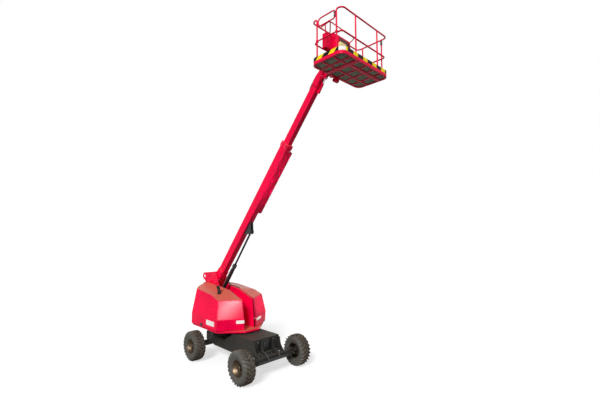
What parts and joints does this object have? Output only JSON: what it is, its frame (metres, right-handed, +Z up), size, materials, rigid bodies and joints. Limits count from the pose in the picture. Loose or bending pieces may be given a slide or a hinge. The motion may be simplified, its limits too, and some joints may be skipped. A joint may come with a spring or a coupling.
{
  "type": "telescopic boom lift",
  "caption": "Self-propelled telescopic boom lift: wheeled chassis, slewing turntable with hoods, raised boom with a sliding fly section and a levelled work platform with guard rails.",
  "frame": {"origin": "on the ground under the slewing axis", "axes": "+X the way the boom points, +Y to the machine's left, +Z up"},
  "size_m": [7.1531, 2.4454, 9.1758],
  "materials": {
    "red_paint": "gloss",
    "charcoal_paint": "satin",
    "black_panel": "gloss",
    "tyre_rubber": "matte",
    "rim_paint": "satin",
    "red_iron": "gloss",
    "pin_steel": "satin",
    "rod_chrome": "polished",
    "engine_alloy": "rough",
    "tank_plastic": "matte",
    "chain_plastic": "matte",
    "exhaust_steel": "matte",
    "floor_grating": "rough"
  },
  "bodies": {
    "chassis": {"chassis_frame": "charcoal_paint", "front_panel": "black_panel", "slew_pedestal": "charcoal_paint", "front_axle": "charcoal_paint", "axle_brackets": "charcoal_paint", "steering_cylinder": "pin_steel", "rear_axle": "charcoal_paint"},
    "knuckle_right": {"knuckle_right": "charcoal_paint"},
    "knuckle_left": {"knuckle_left": "charcoal_paint"},
    "wheel_front_right": {"tyre_front_right": "tyre_rubber", "rim_front_right": "rim_paint"},
    "wheel_front_left": {"tyre_front_left": "tyre_rubber", "rim_front_left": "rim_paint"},
    "wheel_rear_right": {"tyre_rear_right": "tyre_rubber", "rim_rear_right": "rim_paint"},
    "wheel_rear_left": {"tyre_rear_left": "tyre_rubber", "rim_rear_left": "rim_paint"},
    "turntable": {"turntable_base": "red_paint", "tower_plates": "red_paint", "pivot_pins": "pin_steel", "counterweight": "red_iron", "engine_block": "engine_alloy", "fluid_tank": "tank_plastic"},
    "hood_right": {"hood_right": "red_paint", "exhaust_outlet": "exhaust_steel"},
    "hood_left": {"hood_left": "red_paint"},
    "base_boom": {"base_boom": "red_paint", "boom_collar": "red_paint", "hose_tray": "red_paint", "hose_chain": "chain_plastic", "cylinder_bracket": "charcoal_paint"},
    "lift_barrel": {"lift_barrel": "charcoal_paint"},
    "lift_rod": {"lift_rod": "rod_chrome"},
    "fly": {"fly_boom": "red_paint", "fly_head": "red_paint", "level_barrel": "pin_steel"},
    "level_rod": {"level_rod": "rod_chrome"},
    "leveller": {"level_bracket": "red_paint", "rotator": "charcoal_paint"},
    "platform": {"platform_frame": "red_paint", "floor_members": "red_paint", "platform_arm": "red_paint", "floor_mesh": "floor_grating", "toe_board": "red_paint", "top_rail": "red_paint", "mid_rail": "red_paint", "rail_posts": "red_paint", "control_console": "red_paint"},
    "entry_gate": {"entry_gate": "red_paint"},
    "drop_bar": {"drop_bar": "red_paint"}
  },
  "joints": [
    {"name": "slew", "type": "hinge", "parent": "chassis", "child": "turntable", "pos_m": [0, 0, 1.025], "axis": [0, 0, 1], "continuous": true},
    {"name": "steer_right", "type": "hinge", "parent": "chassis", "child": "knuckle_right", "pos_m": [2.35, -0.76, 0.46], "axis": [0, 0, 1], "range_deg": [-30, 30]},
    {"name": "steer_left", "type": "hinge", "parent": "chassis", "child": "knuckle_left", "pos_m": [2.35, 0.76, 0.46], "axis": [0, 0, 1], "range_deg": [-30, 30]},
    {"name": "wheel_front_right", "type": "hinge", "parent": "knuckle_right", "child": "wheel_front_right", "pos_m": [2.35, -1.04, 0.46], "axis": [0, 1, 0], "continuous": true},
    {"name": "wheel_front_left", "type": "hinge", "parent": "knuckle_left", "child": "wheel_front_left", "pos_m": [2.35, 1.04, 0.46], "axis": [0, 1, 0], "continuous": true},
    {"name": "wheel_rear_right", "type": "hinge", "parent": "chassis", "child": "wheel_rear_right", "pos_m": [-0.25, -1.04, 0.46], "axis": [0, 1, 0], "continuous": true},
    {"name": "wheel_rear_left", "type": "hinge", "parent": "chassis", "child": "wheel_rear_left", "pos_m": [-0.25, 1.04, 0.46], "axis": [0, 1, 0], "continuous": true},
    {"name": "hood_right_open", "type": "hinge", "parent": "turntable", "child": "hood_right", "pos_m": [-0.38, -0.246, 2.372], "axis": [-1, 0, 0], "range_deg": [0, 60]},
    {"name": "hood_left_open", "type": "hinge", "parent": "turntable", "child": "hood_left", "pos_m": [-0.38, 0.246, 2.372], "axis": [1, 0, 0], "range_deg": [0, 60]},
    {"name": "boom_lift", "type": "hinge", "parent": "turntable", "child": "base_boom", "pos_m": [-0.55, 0, 2.5], "axis": [0, -1, 0], "range_deg": [-67, 22]},
    {"name": "lift_barrel_swing", "type": "hinge", "parent": "turntable", "child": "lift_barrel", "pos_m": [-0.335, 0, 2.005], "axis": [0, -1, 0], "range_deg": [-66, 21.7]},
    {"name": "lift_rod_slide", "type": "slide", "parent": "lift_barrel", "child": "lift_rod", "axis": [0.6157, 0, 0.788], "range_m": [-0.565, 0.186]},
    {"name": "fly_slide", "type": "slide", "parent": "base_boom", "child": "fly", "axis": [0.6428, 0, 0.766], "range_m": [-1.6, 2.3]},
    {"name": "level_rod_slide", "type": "slide", "parent": "fly", "child": "level_rod", "axis": [0.5772, 0, 0.8166], "range_m": [-0.064, 0.19]},
    {"name": "platform_level", "type": "hinge", "parent": "fly", "child": "leveller", "pos_m": [4.43777, 0, 8.3664], "axis": [0, 1, 0], "range_deg": [-67, 22]},
    {"name": "platform_rotate", "type": "hinge", "parent": "leveller", "child": "platform", "pos_m": [4.73777, 0, 8.3664], "axis": [0, 0, 1], "range_deg": [-80, 80]},
    {"name": "gate_swing", "type": "hinge", "parent": "platform", "child": "entry_gate", "pos_m": [5.61497, -0.932, 8.9624], "axis": [0, 0, -1], "range_deg": [0, 85]},
    {"name": "drop_bar_lift", "type": "slide", "parent": "platform", "child": "drop_bar", "axis": [0, 0, 1], "range_m": [0, 0.25]}
  ],
  "couplings": [
    {"joint": "steer_left", "follows": "steer_right", "ratio": 1},
    {"joint": "lift_barrel_swing", "follows": "boom_lift", "ratio": 0.98},
    {"joint": "lift_rod_slide", "follows": "boom_lift", "m_per_rad": 0.48},
    {"joint": "level_rod_slide", "follows": "boom_lift", "m_per_rad": -0.16},
    {"joint": "platform_level", "follows": "boom_lift", "ratio": 1}
  ]
}
